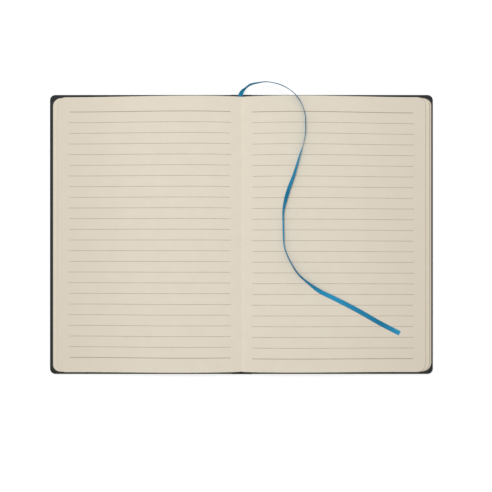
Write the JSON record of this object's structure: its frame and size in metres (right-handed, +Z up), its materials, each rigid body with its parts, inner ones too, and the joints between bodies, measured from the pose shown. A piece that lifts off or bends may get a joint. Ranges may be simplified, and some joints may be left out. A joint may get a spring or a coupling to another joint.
{
  "type": "hard-cased ruled notebook",
  "caption": "Hard-cased ruled notebook lying open at its middle, with cream pages, a dark grey case and a blue ribbon marker.",
  "frame": {"origin": "on the table under the middle of the spine, at the middle of the case's height", "axes": "+X across the opening towards the back board's fore-edge, +Y up the pages towards the head, +Z up from the table"},
  "size_m": [0.2882, 0.2198, 0.012],
  "materials": {
    "covering": "matte",
    "greyboard": "matte",
    "endpaper": "matte",
    "gauze": "matte",
    "pages": "matte",
    "ribbon": "satin"
  },
  "bodies": {
    "back_cover": {"back_cover": "covering", "back_board": "greyboard", "back_endpaper": "endpaper"},
    "spine": {"spine_cover": "covering", "spine_strip": "greyboard", "spine_gauze": "gauze", "pages": "pages", "ribbon": "ribbon"},
    "front_cover": {"front_cover": "covering", "front_board": "greyboard", "front_endpaper": "endpaper"}
  },
  "joints": [
    {"name": "back_joint", "type": "hinge", "parent": "back_cover", "child": "spine", "pos_m": [0.0107, 0, 0.0006], "axis": [0, 1, 0], "range_deg": [0, 90], "deforming": ["pages", "ribbon"]},
    {"name": "front_joint", "type": "hinge", "parent": "spine", "child": "front_cover", "pos_m": [-0.0107, 0, 0.0006], "axis": [0, 1, 0], "range_deg": [0, 90], "deforming": ["pages"]}
  ]
}
